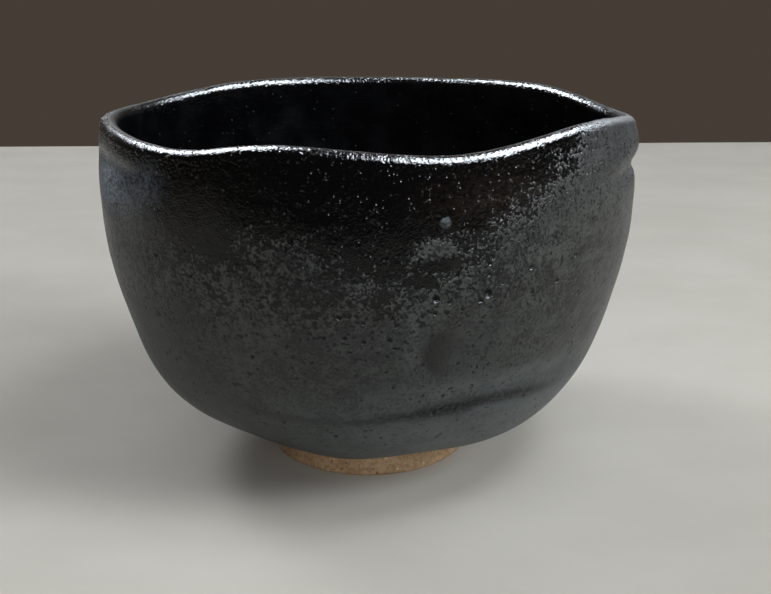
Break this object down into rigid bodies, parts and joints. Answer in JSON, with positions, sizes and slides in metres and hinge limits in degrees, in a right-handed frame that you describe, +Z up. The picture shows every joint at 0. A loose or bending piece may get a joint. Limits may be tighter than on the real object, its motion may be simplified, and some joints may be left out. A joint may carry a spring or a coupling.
{
  "type": "matcha tea bowl",
  "caption": "Hand-formed tea bowl with a rolled, undulating rim, a full belly, a glossy black glaze and a small bare clay foot ring.",
  "frame": {"origin": "centre of the foot ring's resting face, which is also the bottom centre of the bowl's bounding box within the hand-formed unevenness", "axes": "+Z up out of the mouth; +X to the right and -Y towards the viewer when the bowl's front is looked at, with the drawn-out side of the lip on the right"},
  "size_m": [0.1209, 0.1192, 0.083],
  "materials": {
    "bare_clay": "unglazed sandy tan stoneware, matte, with fine dark and pale grit",
    "black_glaze": "black glaze, glossy and rough like orange peel near the lip, satin grey-green to slate low down, with pinholes and craters",
    "inner_black_glaze": "deep glossy black glaze with fine specks"
  },
  "bodies": {
    "root": {"clay_body": "bare_clay", "foot_ring": "bare_clay", "outer_glaze": "black_glaze", "inner_glaze": "inner_black_glaze"}
  },
  "joints": []
}
